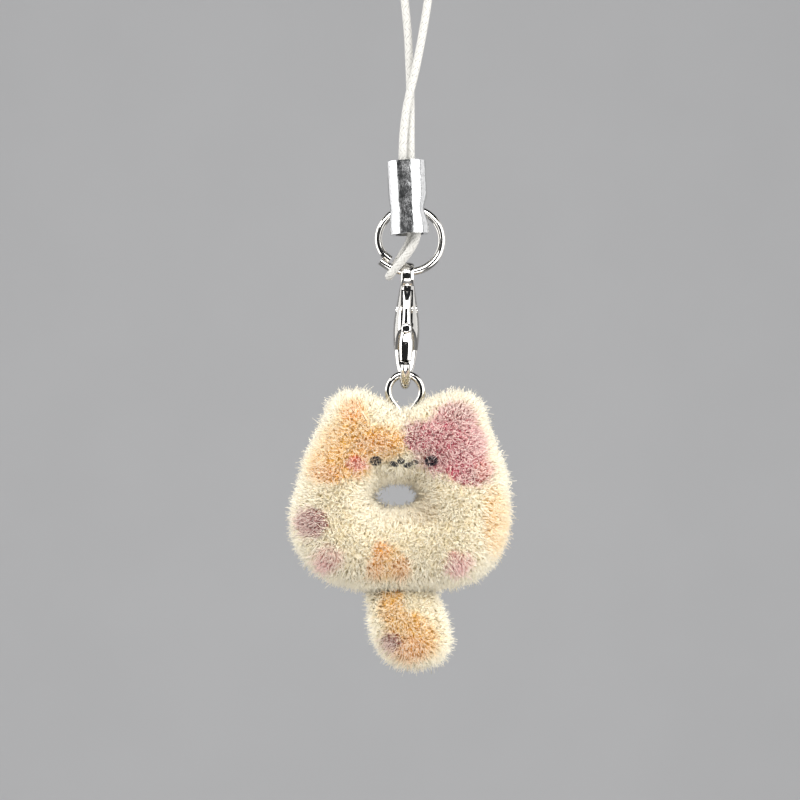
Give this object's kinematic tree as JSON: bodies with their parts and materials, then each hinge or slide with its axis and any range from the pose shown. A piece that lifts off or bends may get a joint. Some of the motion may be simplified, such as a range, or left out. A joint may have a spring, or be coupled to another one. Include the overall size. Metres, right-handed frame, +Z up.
{
  "type": "flocked cat charm on a cord strap",
  "caption": "Flocked calico cat ring charm hung by a lobster clasp and an open jump ring from a crimped ferrule and a braided cord strap.",
  "frame": {"origin": "inside top of the strap's loop, where a hook or a finger carries it", "axes": "+Z up along the hanging strap, -Y the cat's face, +X to the viewer's right"},
  "size_m": [0.0211, 0.0107, 0.0939],
  "materials": {
    "cord": "braided white nylon",
    "ferrule": "rolled, brushed along its length",
    "plated_steel": "bright nickel plate",
    "spring_steel": "plain spring wire",
    "core_plastic": "moulded, cream",
    "flock": "short upright flock fibres, cream with orange and mauve patches"
  },
  "bodies": {
    "strap": {"strap_cord": "cord", "ferrule": "ferrule"},
    "ring": {"jump_ring": "plated_steel"},
    "clasp": {"clasp_body": "plated_steel", "clasp_rivet": "plated_steel"},
    "lever": {"clasp_lever": "plated_steel", "clasp_spring": "spring_steel"},
    "charm": {"screw_eye": "plated_steel", "body_core_front": "core_plastic", "body_core_back": "core_plastic", "body_coat": "flock", "tail_core": "core_plastic", "tail_coat": "flock"}
  },
  "joints": [
    {"name": "ring_flip", "type": "hinge", "parent": "strap", "child": "ring", "pos_m": [-0.0013, -0.0001, -0.05444], "axis": [-0.9225, 0.0262, 0.3851], "range_deg": [0, 60]},
    {"name": "clasp_swing", "type": "hinge", "parent": "ring", "child": "clasp", "pos_m": [0.00016, -0.00011, -0.05475], "axis": [1, 0, 0], "range_deg": [-40, 40]},
    {"name": "lever_press", "type": "hinge", "parent": "clasp", "child": "lever", "pos_m": [0.00008, -0.00081, -0.05835], "axis": [0.9997, 0, -0.0227], "range_deg": [0, 22], "stiffness_Nm_per_rad": 0.0002, "springref_deg": -20.05},
    {"name": "charm_swing", "type": "hinge", "parent": "clasp", "child": "charm", "pos_m": [-0.00009, -0.00011, -0.06556], "axis": [0, 1, 0], "range_deg": [-40, 40]}
  ]
}
